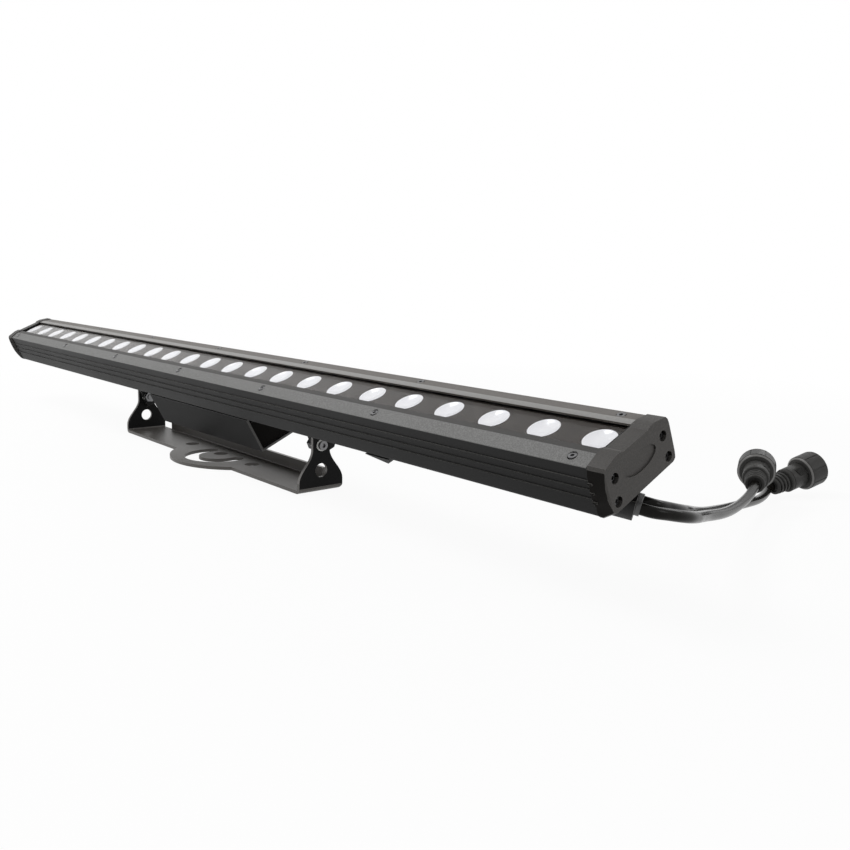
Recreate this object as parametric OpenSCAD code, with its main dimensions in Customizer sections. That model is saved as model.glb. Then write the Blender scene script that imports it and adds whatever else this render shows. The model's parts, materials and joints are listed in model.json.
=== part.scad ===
// Wall washer light: a one metre LED bar on a U bracket, with two pigtail cables
// and round cable connectors. Millimetres, +Z up. The origin is the centre of the
// bracket's middle fixing hole, on the underside of the base plate. The bar runs
// along X, its cable end at +X, and leans towards -Y by the tilt angle.

/* [Pose] */
// Tilt of the bar towards the front, from straight up
tilt = 24.5; // [0:0.5:60]
// How far the bar's middle lies to the cable side of the bracket's middle
bar_shift = 10; // [0:1:30]

/* [Bar] */
// Length of the bar over both end caps
bar_length = 1000; // [900:10:1200]
// Width of the extruded body
body_width = 57.2; // [56:0.2:64]
// Height of the extruded body, without the clamp rails
body_height = 32.3; // [29:0.1:36]
// Wall of the extruded body
body_wall = 2.4; // [2:0.1:3]
// Thickness of the body's bottom
body_floor = 2.5; // [2:0.1:3]
// Radius of the body's bottom edges
body_edge_r = 2.5; // [2:0.25:3.5]
// Height of a cooling rib along the body's side
rib_height = 1.2; // [0.8:0.1:1.6]
// How far a cooling rib stands out
rib_out = 0.8; // [0.4:0.1:1.2]
// Distance between cooling ribs
rib_pitch = 6; // [4:0.5:6.5]
// Depth of the first rib under the body's top
rib_start = 8.2; // [7:0.1:9]

/* [Rails and window] */
// Height of the rail crest over the body's top
crest_height = 3.2; // [3:0.1:4.2]
// Width of the flat crest of a clamp rail
crest_width = 5; // [4:0.25:6]
// Width of the window between the two rails
window_width = 26.8; // [25:0.2:27.6]
// Height of the rail's outer edge
rail_edge = 0.5; // [0.3:0.1:0.8]
// Thickness of the front glass
glass_thick = 2.4; // [2:0.1:2.6]
// Width of the front glass
glass_width = 33.2; // [32.4:0.2:34]
// Thickness of the window seal
seal_thick = 0.5; // [0.3:0.1:0.6]

/* [Optics] */
// Distance between lenses
lens_pitch = 41.3; // [38:0.1:41.4]
// Diameter of a lens
lens_d = 20.6; // [18:0.2:21]
// Thickness of the lens cover plate
plate_thick = 1.2; // [1:0.1:1.4]
// Width of the LED board
board_width = 36; // [30:1:37]
// Thickness of the LED board
board_thick = 1.6; // [1.2:0.1:2]

/* [End caps] */
// Length of an end cap
cap_length = 11.9; // [10:0.1:14]
// How far a cap stands out past the body all round
cap_proud = 0.8; // [0.3:0.1:1]
// Thickness of the end cap seal
cap_seal = 0.8; // [0.6:0.1:1.2]
// Radius of the caps' bottom corners
cap_corner_r = 4.5; // [3:0.5:6]
// Radius of the caps' outer edges
cap_round = 1.5; // [1:0.5:3]

/* [Driver housing] */
// Length of the driver housing
housing_length = 195; // [185:1:240]
// Height of the driver housing
housing_height = 33; // [30:1:34]
// How much each side of the housing leans in, top to bottom
housing_taper = 2.3; // [0:0.1:3]
// Sheet thickness of the driver housing
housing_wall = 2; // [1.5:0.1:2.5]
// How far the housing's middle lies to the cable side of the bar's middle
housing_shift = 11; // [0:1:12]

/* [Bracket] */
// Width over the outer faces of the two ears
bracket_length = 351.8; // [340:0.2:380]
// Width of the base plate
base_width = 44; // [40:1:50]
// Sheet thickness of the bracket
sheet = 3; // [2.5:0.25:3.5]
// Outer radius of the bends
bend_r = 4.5; // [4:0.25:6]
// Height of the tilt axis over the base's underside
pivot_height = 40.2; // [38:0.2:48]
// Depth of the tilt axis under the top of the extruded body
pivot_drop = 62.9; // [62:0.1:66]
// Width of the ear at its top
ear_top_width = 17; // [16:0.2:24]
// Diameter of the spare hole in each ear
ear_hole_d = 12; // [10:0.5:13]
// Height of the spare hole over the base's underside
ear_hole_height = 18.6; // [17:0.2:20]
// Height of the back flange
flange_height = 13.8; // [11:0.2:14.4]
// Length of the back flange
flange_length = 300; // [280:5:310]
// Diameter of the fixing holes in the base
base_hole_d = 14; // [10:0.5:15]
// Distance between the fixing holes in the base
base_hole_pitch = 61; // [58:0.5:66]
// Width of the curved slot in the base
slot_width = 14; // [10:0.5:15]
// Radius of the middle line of the curved slot
slot_r = 26; // [25:0.2:28]

/* [Cables] */
// Diameter of a cable
cable_d = 7.2; // [6:0.2:7.6]
// Distance between the two cables where they leave the bar
cable_pitch = 8.2; // [8:0.1:9]
// Diameter of a coupling nut
nut_d = 30.4; // [29:0.2:36]
// Length of a coupling nut
nut_length = 19; // [18:0.5:24]
// Length of the smooth connector body behind the nut
shell_length = 19; // [14:0.5:22]
// Length of the ribbed strain relief
tail_length = 14; // [12:0.5:20]

/* [Fits] */
// Running clearance between a turning pin and its bore, on the radius
run_clear = 0.05; // [0.03:0.01:0.08]
// Clearance of a screw thread in its hole, on the radius
thread_clear = 0.05; // [0.03:0.01:0.1]
// Gap between seated pieces
seat_gap = 0.2; // [0.1:0.05:0.3]

/* [Hidden] */
$fn = 48;

// One overrun for every cut
over = 1;

// Lengths along the bar
body_length = bar_length - 2 * (cap_length + cap_seal);
window_length = body_length - 2 * seat_gap;
board_length = body_length - 4 * body_wall;
half_width = body_width / 2;
window_half = window_width / 2;
pocket_half = glass_width / 2 + seat_gap;

// Heights in the bar, from the top of the extruded body
ledge_thick = 2.3;
lip_thick = 1.4;
lip_under = crest_height - lip_thick;
glass_top = lip_under - seal_thick;
glass_under = glass_top - glass_thick;
plate_top = glass_under - seat_gap;
plate_under = plate_top - plate_thick;
ledge_under = glass_under - ledge_thick;
ledge_in = 2.2;
tray_depth = 16.4;
tray_thick = 2.5;
lower_top = tray_depth + tray_thick;
board_top = board_thick - tray_depth;
body_under = -body_height;

// Screw ports along the body, shared with the end caps
port_r = 2.8;
port_hole_r = 1.3;
port_high_in = 6.1;
port_high_down = 7.4;
port_low_in = 4.8;
port_low_down = 21.5;
port_high = [half_width - port_high_in, -port_high_down];
port_low = [half_width - port_low_in, -port_low_down];
PORTS = [port_high, port_low];
web_thick = 1.6;
web_place = 9;

// Clamp rail
crest_half = window_half + crest_width;
rail_screw_in = 5.9;
rail_screw_place = half_width - rail_screw_in;
rail_screw_step = 149.4;
rail_screw_end = 13.3;

// Screw sizes: head radius, head height, thread radius
SCREW_3 = [2.7, 1.7, 1.5];
SCREW_4 = [3.5, 2.4, 2];
SCREW_5 = [4.3, 3, 2.5];
socket_share = 0.5;
socket_depth_share = 0.6;

rail_screw_length = 4;
rail_bore_r = 3.1;
rail_screw_seat = 0.5;

// Lens and holder
lens_r = lens_d / 2;
lens_count = floor((body_length - lens_d) / lens_pitch) + 1;
lens_skirt = 1;
lens_clear = 0.1;
lens_rim = 2.6;
lens_foot_r = 4.6;
lens_waist_r = lens_r - lens_skirt;
lens_foot_gap = 0.2;
lens_well_r = 3.9;
lens_well_depth = 3;
holder_wall = 1.6;
holder_floor = 6;
holder_gap = 0.2;
chip_side = 5;
chip_height = 1.4;
board_screw_length = 4;
BOARD_SCREW_PLACES = [for (k = [2:5:lens_count - 1]) k];

// End cap
cap_bore_r = 3.2;
cap_bore_depth = 5;
cap_screw_length = 16;
cap_head_height = 3;
cap_flat = 2.9;
cap_ramp = 2.2;
cap_inside = 8;
cap_rib_length = 3;
oval_half_length = 14.6;
oval_half_height = 6.2;
oval_points = 60;
oval_depth = 1;
oval_drop = 9.8;
cap_low_run = 1;
cap_face_low = 26.8;
cap_bulge = 1.5;
// The cap's side from the top down: how far outside its straight wall, and height
CAP_SIDE = [[-1.4, 1.7], [0, -0.2], [0.8, -4], [1.3, -9], [cap_bulge, -14], [1.2, -19], [0, -25]];
cap_sled_r = 5;
cap_nub_out = 2.7;

// Driver housing
housing_top = body_under;
housing_under = body_under - housing_height;
housing_top_half = half_width - 0.2;
housing_low_half = housing_top_half - housing_taper;
housing_inset = 3;
housing_end_thick = 2;
housing_end_drop = 5;
pillar_r = 5;
pillar_half = 17;
pillar_left = 17.5;
pillar_right = 15.5;
PILLARS = [housing_shift - housing_length / 2 + pillar_left,
    housing_shift + housing_length / 2 - pillar_right];
driver_size = [120, 36, 22];
driver_shift = 8;
driver_tab = 6;
control_size = [26, 20, 1.6];
control_inset = 21.5;
control_rise = 14;
control_leg_r = 2.5;
control_leg_inset = 4;
control_chip = [12, 10, 3];
lead_r = 2.5;
lead_place = 30;
supply_r = 3;
supply_end = 68;
supply_run = (lower_top + body_height - body_floor) / 2;
supply_tail = 4;
grommet_r = 5.5;
grommet_lip = 1.6;
grommet_flange_r = 7;

// Pivot lugs: they hang from the body beside each ear
ear_x = bracket_length / 2;
spacer_thick = 1;
side_clear = 0.1;
lug_thick = 4;
lug_top_half = 22;
lug_front = 5;
lug_back = 16;
lug_low = 10.4;
lug_corner = 3;
lug_foot = 16;
lug_face = ear_x - sheet - spacer_thick - 2 * side_clear;
lug_screw_place = 14;
lug_screw_length = 6;
bolt_r = 3;
bolt_head_r = 4;
bolt_head_height = 2.6;
washer_r = 5;
washer_thick = 0.8;
pivot_nut_width = 10;
pivot_nut_thick = 5;
bolt_tip = 1.5;

// Bracket
slot_centre = -5;
slot_rise = 12;
lobe_shift = 5;
lobe_r = 71;
lobe_centre = 22;
bend_relief = 2;
ear_over = 15;
ear_top_r = 7;
ear_curve_low = 9;
ear_curve_high = 36;
ear_steps = 16;
ear_corner_r = 4.5;

// Rest foot under the front edge of the bar
foot_start = 277;
foot_deep = 302.5;
foot_end = 304;
foot_depth = 3.4;
foot_width = 14;
foot_screw_place = 298;
foot_screw_length = 4;
foot_head_sink = 1.2;

// Cable block under the cable end, its end face square to the cables' exit
block_reach = 42;
block_start = bar_length / 2 - block_reach;
block_over = 4;
block_end = bar_length / 2 + block_over;
block_depth = 17.2;
block_top_half = 7;
block_half = 8.5;
block_low_half = 5;
block_shoulder = 3.7;
block_side = 10.7;
block_seal_thick = 1;
block_screw_from = 4.5;
block_screw_to = 23;
block_screw_length = 16;
block_screw_sink = 3.5;
block_wall = 2;
block_well = [10, 11];
block_well_inset = 9;
block_well_start = block_start + block_well_inset;
supply_start = block_well_start + block_well[0] / 2;
exit_inset = 9.5;
exit_drop = 8.2;
exit_yaw = 23.5;
exit_dip = 23;
exit_roll = -7;
flange_thick = 3;
flange_half_width = 8.6;
flange_half_height = 4.6;

// Connectors: nut centre, yaw and pitch
NUT_IN = [429.5, 344.5, 21.5];
TURN_IN = [75, 15];
NUT_OUT = [422.5, 268.5, 31.5];
TURN_OUT = [117.5, 6];
shell_r = 10.4;
shell_neck_r = 9.4;
neck_length = 0.4;
shell_flange = 3;
nut_back = 3;
nut_wall = 2.4;
nut_cavity_r = nut_d / 2 - nut_wall;
nut_gap = 1.2;
shell_flange_r = nut_cavity_r - nut_gap;
nut_rim = 2;
nut_rim_step = 0.5;
nut_grooves = 8;
nut_groove_width = 1.4;
nut_groove_depth = 0.5;
nut_shoulder = 1.5;
tail_r = 8.6;
tail_end_r = 7.6;
tail_ribs = 4;
tail_rib_gap = 1.4;
tail_rib_depth = 1.2;
grip_depth = 0.6;
grip_lines = 5;
grip_line = 0.7;
grip_length = 8;
grip_inset = 1;
grip_turn = -40;
insert_r = 8.6;
insert_length = 12;
insert_well = 5;
insert_wall = 1.6;
contact_r = 1.2;
contact_length = 8;
contact_circle = 3.6;
contact_count = 3;
o_ring_r = 1;

// Routes of the two cables, from the cable block to the connectors
ROUTE_OUT = [[515.5, 2, 55.5], [516, 19.5, 51.5], [510.5, 35.5, 47.5], [503.5, 51.5, 44],
    [498, 68, 40.5], [493, 84, 37], [488, 101, 34], [482.5, 117.5, 31], [477.5, 133.5, 29],
    [471.5, 150, 27], [466.5, 166, 26], [460.5, 182.5, 25], [455, 199, 25], [449.5, 215, 26]];
ROUTE_IN = [[508.5, 10.5, 56.5], [505.5, 27.5, 52], [499, 43.5, 48], [492, 59, 43.5],
    [486, 75, 39], [480.5, 91.5, 35], [475, 107.5, 31.5], [469.5, 124, 28.5],
    [464.5, 140.5, 25.5], [459.5, 157, 22.5], [455, 173.5, 20], [450.5, 190.5, 18],
    [446, 207, 15.5], [441.5, 223.5, 13], [437, 240, 11], [432.5, 257, 9], [427.5, 273.5, 7.5],
    [421.5, 289.5, 8]];
cable_sides = 10;
cable_lead = 4;

// Moves a piece from the bar's own frame, with the top of the body at zero, to its place
module in_head()
    translate([bar_shift, 0, pivot_height]) rotate([tilt, 0, 0])
        translate([0, 0, pivot_drop]) children();

// The same move for one point
function head_point(p) = let (z = p[2] + pivot_drop)
    [p[0] + bar_shift, p[1] * cos(tilt) - z * sin(tilt),
     p[1] * sin(tilt) + z * cos(tilt) + pivot_height];

// Draws an outline in the Y-Z plane and runs it along X
module along_x(from, to)
    translate([from, 0, 0]) rotate([90, 0, 90]) linear_extrude(to - from) children();

module x_cylinder(r, from, to, y = 0, z = 0)
    translate([from, y, z]) rotate([0, 90, 0]) cylinder(h = to - from, r = r);

module box(low, high) translate(low) cube(high - low);

// A screw with its seat at zero, pointing down, with a hexagon socket
module screw(size, length, head = undef) {
    tall = is_undef(head) ? size[1] : head;
    difference() {
        union() {
            cylinder(h = tall, r = size[0]);
            translate([0, 0, -length]) cylinder(h = length, r = size[2]);
        }
        translate([0, 0, tall * (1 - socket_depth_share)])
            cylinder(h = tall * socket_depth_share + over, r = size[0] * socket_share, $fn = 6);
    }
}

module both_ends() for (end = [-1, 1]) scale_x(end) children();
module scale_x(end) if (end > 0) children(); else mirror([1, 0, 0]) children();
module scale_y(side) if (side > 0) children(); else mirror([0, 1, 0]) children();

function lens_x(k) = (k - (lens_count - 1) / 2) * lens_pitch;
function board_screw_x(k) = (k - lens_count / 2) * lens_pitch;
RAIL_SCREWS = concat([for (k = [-2:2]) k * rail_screw_step],
    [-1, 1] * (body_length / 2 - rail_screw_end));

// Bracket: base plate, two bent ears, back flange
module base_outline() {
    flat_half = bracket_length / 2 - bend_r;
    wing = flat_half - flange_length / 2 - bend_relief;
    difference() {
        union() {
            translate([-flat_half, -base_width / 2]) square([2 * flat_half, base_width - bend_r]);
            for (end = [0, 1]) translate([end * (2 * flat_half - wing) - flat_half, -base_width / 2])
                square([wing, base_width]);
            translate([lobe_shift, 0]) intersection() {
                translate([0, lobe_centre]) circle(r = lobe_r, $fn = 96);
                translate([-lobe_r, -2 * lobe_r]) square([2 * lobe_r, 2 * lobe_r]);
            }
        }
        for (k = [-1:1]) translate([k * base_hole_pitch, 0]) circle(d = base_hole_d);
    }
}

module curved_slot() {
    translate([lobe_shift, slot_centre, 0]) {
        rotate([0, 0, -180 - slot_rise])
            rotate_extrude(angle = 180 + 2 * slot_rise, $fn = 96)
                translate([slot_r - slot_width / 2, -over]) square([slot_width, sheet + 2 * over]);
        for (turn = [slot_rise, 180 - slot_rise])
            rotate([0, 0, turn]) translate([slot_r, 0, -over])
                cylinder(h = sheet + 2 * over, d = slot_width);
    }
}

function ear_half(z) = let (t = min(1, max(0, (z - ear_curve_low) / (ear_curve_high - ear_curve_low))))
    ear_top_width / 2 + (base_width - ear_top_width) / 2 * (1 + cos(180 * t)) / 2;

module ear_outline() {
    top = pivot_height + ear_over;
    half = ear_top_width / 2;
    curve = [for (i = [0:ear_steps]) ear_curve_low + (ear_curve_high - ear_curve_low) * i / ear_steps];
    polygon(concat([[-base_width / 2, bend_r], [base_width / 2, bend_r]],
        [for (z = curve) [ear_half(z), z]],
        [[half, top - ear_top_r], [-half, top - ear_top_r]],
        [for (i = [ear_steps:-1:0]) [-ear_half(curve[i]), curve[i]]]));
    translate([ear_top_r - half, top - ear_top_r]) circle(r = ear_top_r);
    translate([half - ear_top_r, top - ear_top_r]) circle(r = ear_top_r);
    translate([ear_top_r - half, top - 2 * ear_top_r]) square([2 * (half - ear_top_r), 2 * ear_top_r]);
}

// A quarter bend along Z, from the sheet lying along X to the sheet standing
module quarter_bend() difference() {
    intersection() {
        circle(r = bend_r);
        translate([0, -bend_r]) square([bend_r, bend_r]);
    }
    circle(r = bend_r - sheet);
}

module ear() {
    difference() {
        union() {
            along_x(ear_x - sheet, ear_x) ear_outline();
            translate([ear_x - bend_r, base_width / 2, bend_r]) rotate([90, 0, 0])
                linear_extrude(base_width) quarter_bend();
        }
        x_cylinder(bolt_r + run_clear, ear_x - sheet - over, ear_x + over, 0, pivot_height);
        x_cylinder(ear_hole_d / 2, ear_x - sheet - over, ear_x + over, 0, ear_hole_height);
        difference() {
            box([ear_x - bend_r - over, base_width / 2 - ear_corner_r, -over],
                [ear_x + over, base_width / 2 + over, ear_corner_r]);
            x_cylinder(ear_corner_r, ear_x - bend_r - 2 * over, ear_x + 2 * over,
                base_width / 2 - ear_corner_r, ear_corner_r);
        }
    }
}

module bracket() color("dimgray") {
    difference() {
        union() {
            linear_extrude(sheet) base_outline();
            both_ends() ear();
            box([-flange_length / 2, base_width / 2 - sheet, bend_r],
                [flange_length / 2, base_width / 2, flange_height]);
            translate([-flange_length / 2, base_width / 2 - bend_r, bend_r])
                rotate([90, 0, 90]) linear_extrude(flange_length) quarter_bend();
        }
        curved_slot();
    }
}

// Extruded body
module rib_marks(out) for (side = [-1, 1]) for (k = [0:2])
    translate([side * half_width, -rib_start - k * rib_pitch])
        square([2 * out, rib_height], center = true);

module body_shell() {
    r = body_edge_r;
    translate([-half_width, r - body_height]) square([body_width, body_height - r]);
    translate([r - half_width, -body_height]) square([body_width - 2 * r, 2 * r]);
    for (side = [-1, 1]) translate([side * (half_width - r), r - body_height]) circle(r = r);
    rib_marks(rib_out);
}

module body_section() difference() {
    union() {
        difference() {
            body_shell();
            inner = half_width - body_wall;
            translate([-inner, -tray_depth]) square([2 * inner, tray_depth + ledge_under]);
            translate([-inner, body_floor - body_height])
                square([2 * inner, body_height - body_floor - lower_top]);
        }
        for (side = [-1, 1]) {
            for (p = PORTS) translate([side * p[0], p[1]]) {
                circle(r = port_r);
                translate([side > 0 ? 0 : -port_r - body_wall / 2, -port_r / 2])
                    square([port_r + body_wall / 2, port_r]);
            }
            translate([side * web_place - web_thick / 2, body_floor / 2 - body_height])
                square([web_thick, body_height - lower_top]);
        }
    }
    translate([-pocket_half, glass_under]) square([2 * pocket_half, over - glass_under]);
    translate([ledge_in - pocket_half, ledge_under - over])
        square([2 * (pocket_half - ledge_in), 2 * over - ledge_under]);
    for (side = [-1, 1]) for (p = PORTS) translate([side * p[0], p[1]]) circle(r = port_hole_r);
}

// A plain hole through the body's bottom, or through the tray under the board
module floor_hole(r, x, y) translate([x, y, body_under - over]) cylinder(h = body_floor + 2 * over, r = r);
module tray_hole(r, x, y) translate([x, y, -lower_top - over]) cylinder(h = tray_thick + 2 * over, r = r);

module body_extrusion() color([0.13, 0.13, 0.14]) in_head() difference() {
    along_x(-body_length / 2, body_length / 2) body_section();
    for (side = [-1, 1]) for (x = RAIL_SCREWS)
        translate([x, side * rail_screw_place, -rail_screw_length])
            cylinder(h = rail_screw_length + over, r = SCREW_3[2] + thread_clear);
    for (k = BOARD_SCREW_PLACES) tray_hole(SCREW_3[2] + thread_clear, board_screw_x(k), 0);
    for (x = PILLARS) for (side = [-1, 1]) floor_hole(SCREW_4[2] + thread_clear, x, side * pillar_half);
    for (end = [-1, 1]) for (side = [-1, 1])
        floor_hole(SCREW_5[2] + thread_clear, lug_screw_x(end), side * lug_screw_place);
    for (x = BLOCK_SCREWS) floor_hole(SCREW_3[2] + thread_clear, x, 0);
    floor_hole(SCREW_3[2] + thread_clear, foot_screw_place, foot_width / 2 - half_width);
    for (x = [lead_place, supply_end, supply_start]) floor_hole(grommet_r, x, 0);
    tray_hole(lead_r + seat_gap, lead_place, 0);
}

// Clamp rail section on the back side, over the body's top
module rail_section() polygon([
    [half_width, 0], [half_width, rail_edge], [crest_half, crest_height],
    [window_half, crest_height], [window_half, lip_under], [pocket_half, lip_under],
    [pocket_half, 0]]);

module rail(side) color([0.30, 0.30, 0.30]) in_head() scale_y(side) difference() {
    along_x(-body_length / 2, body_length / 2) rail_section();
    for (x = RAIL_SCREWS) translate([x, rail_screw_place, 0]) {
        translate([0, 0, -over]) cylinder(h = crest_height + over, r = SCREW_3[2] + 2 * thread_clear);
        translate([0, 0, rail_screw_seat]) cylinder(h = crest_height, r = rail_bore_r);
    }
}
module rail_front() rail(-1);
module rail_back() rail(1);

module rail_screws(side) color("silver") in_head() for (x = RAIL_SCREWS)
    translate([x, side * rail_screw_place, rail_screw_seat]) screw(SCREW_3, rail_screw_length);
module rail_screws_front() rail_screws(-1);
module rail_screws_back() rail_screws(1);

module window_seal() color("black") in_head() for (side = [-1, 1]) scale_y(side)
    box([-window_length / 2, window_half + seal_thick, glass_top],
        [window_length / 2, glass_width / 2, lip_under]);

module front_glass() color([0.8, 0.85, 0.9, 0.4]) in_head()
    box([-window_length / 2, -glass_width / 2, glass_under],
        [window_length / 2, glass_width / 2, glass_top]);

// Lens cover plate, carried by the rims of the lens holders
module lens_plate() color([0.25, 0.22, 0.2]) in_head() difference() {
    half = pocket_half - ledge_in - seat_gap;
    box([-window_length / 2, -half, plate_under], [window_length / 2, half, plate_top]);
    for (k = [0:lens_count - 1]) translate([lens_x(k), 0, plate_under - over])
        cylinder(h = plate_thick + 2 * over, r = lens_r + lens_clear);
}

lens_foot = board_top + lens_foot_gap;
module lens() rotate_extrude() polygon([
    [0, lens_foot + lens_well_depth], [lens_well_r, lens_foot + lens_well_depth],
    [lens_well_r, lens_foot], [lens_foot_r, lens_foot],
    [lens_waist_r, plate_top - lens_rim], [lens_r, plate_top - lens_rim],
    [lens_r, plate_top], [0, plate_top]]);
module lenses() color("white") in_head()
    for (k = [0:lens_count - 1]) translate([lens_x(k), 0, 0]) lens();

// A cup round each lens, standing on the board, with a conical seat
holder_r = lens_r + holder_gap + holder_wall;
holder_top = plate_under - seat_gap / 2;
cone_slope = (lens_waist_r - lens_foot_r) / (plate_top - lens_rim - lens_foot);
module lens_holder() rotate_extrude() polygon([
    [lens_foot_r + holder_gap, board_top], [holder_r, board_top], [holder_r, holder_top],
    [lens_r + holder_gap, holder_top], [lens_r + holder_gap, board_top + holder_floor],
    [lens_foot_r + holder_gap + cone_slope * holder_floor, board_top + holder_floor]]);
module lens_holders() color([0.1, 0.1, 0.1]) in_head()
    for (k = [0:lens_count - 1]) translate([lens_x(k), 0, 0]) lens_holder();

module led_chips() color("gold") in_head() for (k = [0:lens_count - 1])
    translate([lens_x(k) - chip_side / 2, -chip_side / 2, board_top])
        cube([chip_side, chip_side, chip_height]);

module led_board() color("green") in_head() difference() {
    box([-board_length / 2, -board_width / 2, -tray_depth],
        [board_length / 2, board_width / 2, board_top]);
    for (k = BOARD_SCREW_PLACES) translate([board_screw_x(k), 0, -tray_depth - over])
        cylinder(h = board_thick + 2 * over, r = SCREW_3[2] + 2 * thread_clear);
}
module board_screws() color("silver") in_head() for (k = BOARD_SCREW_PLACES)
    translate([board_screw_x(k), 0, board_top]) screw(SCREW_3, board_screw_length);

// End caps
module cap_outline(grow) {
    half = half_width + grow;
    r = cap_corner_r;
    low = -body_height - grow;
    high = crest_height + grow;
    side = grow > 0 ? [for (p = CAP_SIDE) [half + p[0], p[1]]] : [[half, rail_edge]];
    translate([r - half, low]) square([2 * (half - r), 2 * r]);
    for (end = [-1, 1]) translate([end * (half - r), low + r]) circle(r = r);
    polygon(concat([[crest_half, high], [window_half, high], [window_half - cap_ramp, cap_flat],
        [cap_ramp - window_half, cap_flat], [-window_half, high], [-crest_half, high]],
        [for (p = side) [-p[0], p[1]]], [[-half, low + r], [half, low + r]],
        [for (i = [len(side) - 1:-1:0]) side[i]]));
}

module oval_outline() polygon([for (i = [0:oval_points - 1]) let (a = 360 * i / oval_points)
    [oval_half_length * cos(a), oval_half_height * sin(a)]]);

// Rounds the outer edges of a cap seen from above, and slopes its underside with round corners
module cap_envelope() {
    start = body_length / 2;
    end = bar_length / 2;
    r = cap_round;
    wide = half_width + cap_proud + cap_bulge;
    low = -body_height - cap_proud;
    high = crest_height + cap_proud;
    run = end - start - cap_seal - cap_low_run;
    deep = high - low;
    intersection() {
        translate([0, 0, low - over]) linear_extrude(deep + 2 * over) {
            translate([start, -wide]) square([end - start - r, 2 * wide]);
            translate([start, r - wide]) square([end - start, 2 * (wide - r)]);
            for (side = [-1, 1]) translate([end - r, side * (wide - r)]) circle(r = r);
        }
        translate([end, 0, -cap_face_low]) rotate([0, atan2(run, -cap_face_low - low), 0])
            translate([0, 0, -deep]) linear_extrude(2 * deep) {
                translate([-2 * deep, -wide - over]) square([2 * deep - cap_sled_r, 2 * (wide + over)]);
                translate([-2 * deep, cap_sled_r - wide]) square([2 * deep, 2 * (wide - cap_sled_r)]);
                for (side = [-1, 1]) translate([-cap_sled_r, side * (wide - cap_sled_r)])
                    circle(r = cap_sled_r);
            }
    }
}

module end_cap(end) color([0.17, 0.16, 0.15]) in_head() scale_x(end) difference() {
    inner = body_length / 2 + cap_seal;
    outer = bar_length / 2;
    union() {
        intersection() {
            along_x(inner, outer) cap_outline(cap_proud);
            cap_envelope();
        }
        along_x(inner, inner + cap_rib_length) rib_marks(cap_nub_out);
    }
    along_x(outer - oval_depth, outer + over) translate([0, -oval_drop]) oval_outline();
    for (side = [-1, 1]) for (p = PORTS) {
        x_cylinder(SCREW_3[2] + 2 * thread_clear, inner - over, outer + over, side * p[0], p[1]);
        x_cylinder(cap_bore_r, outer - cap_bore_depth, outer + over, side * p[0], p[1]);
    }
    box([inner - over, -pocket_half, -tray_depth], [outer - cap_inside, pocket_half, ledge_under]);
}
module end_cap_right() end_cap(1);
module end_cap_left() end_cap(-1);

module end_seal(end) color("black") in_head() scale_x(end) difference() {
    along_x(body_length / 2, body_length / 2 + cap_seal) cap_outline(0);
    for (side = [-1, 1]) for (p = PORTS)
        x_cylinder(SCREW_3[2] + 2 * thread_clear, body_length / 2 - over,
            body_length / 2 + cap_seal + over, side * p[0], p[1]);
}
module cap_seal_right() end_seal(1);
module cap_seal_left() end_seal(-1);

cap_screw = [SCREW_3[0], SCREW_3[1], port_hole_r - thread_clear];
module cap_screws(end) color("silver") in_head() scale_x(end) for (side = [-1, 1]) for (p = PORTS)
    translate([bar_length / 2 - cap_bore_depth, side * p[0], p[1]])
        rotate([0, 90, 0]) screw(cap_screw, cap_screw_length, cap_head_height);
module cap_screws_right() cap_screws(1);
module cap_screws_left() cap_screws(-1);

// Driver housing: an open channel that leans in towards its bottom
module channel_outline(in, rise) polygon([
    [in - housing_top_half, housing_top + rise], [housing_top_half - in, housing_top + rise],
    [housing_top_half - in, housing_top], [housing_low_half - in, housing_under + in],
    [in - housing_low_half, housing_under + in], [in - housing_top_half, housing_top]]);
module at_pillars() for (x = PILLARS) for (side = [-1, 1])
    translate([x, side * pillar_half, housing_under]) children();

module driver_housing() color([0.12, 0.12, 0.13]) in_head() difference() {
    from = housing_shift - housing_length / 2;
    union() {
        difference() {
            along_x(from, from + housing_length) channel_outline(0, 0);
            along_x(from - over, from + housing_length + over) channel_outline(housing_wall, over);
        }
        at_pillars() cylinder(h = housing_height, r = pillar_r);
    }
    at_pillars() translate([0, 0, -over]) {
        cylinder(h = housing_height + 2 * over, r = SCREW_4[2] + 2 * thread_clear);
        cylinder(h = SCREW_4[1] + over, r = SCREW_4[0] + seat_gap);
    }
}

// End plates that leave a gap for air and wires under the body
module housing_end(end) color([0.08, 0.08, 0.08]) in_head() {
    face = end * (housing_length / 2 - housing_inset) + housing_shift;
    middle = face - end * housing_end_thick / 2;
    along_x(middle - housing_end_thick / 2, middle + housing_end_thick / 2) intersection() {
        channel_outline(housing_wall + seat_gap, 0);
        translate([-half_width, housing_under]) square([body_width, housing_height - housing_end_drop]);
    }
}
module housing_end_right() housing_end(1);
module housing_end_left() housing_end(-1);

housing_screw_length = housing_height + body_floor - SCREW_4[1] + 2 * seat_gap;
module housing_screws() color("silver") in_head() at_pillars() translate([0, 0, SCREW_4[1]])
    rotate([180, 0, 0]) screw(SCREW_4, housing_screw_length);

// Sealed LED driver on the housing's floor
driver_floor = housing_under + housing_wall + seat_gap;
driver_top = driver_floor + driver_size[2];
driver_from = housing_shift + driver_shift - driver_size[0] / 2;
driver_to = driver_from + driver_size[0];
module driver_module() color([0.75, 0.76, 0.78]) in_head() difference() {
    half = driver_size[1] / 2;
    union() {
        box([driver_from, -half, driver_floor], [driver_to, half, driver_top]);
        box([driver_from - driver_tab, -half, driver_floor],
            [driver_to + driver_tab, half, driver_floor + housing_wall]);
    }
    translate([supply_end, 0, driver_top - supply_tail])
        cylinder(h = supply_tail + over, r = supply_r + seat_gap);
    translate([lead_place, 0, driver_top - supply_tail])
        cylinder(h = supply_tail + over, r = lead_r + seat_gap);
}

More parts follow.
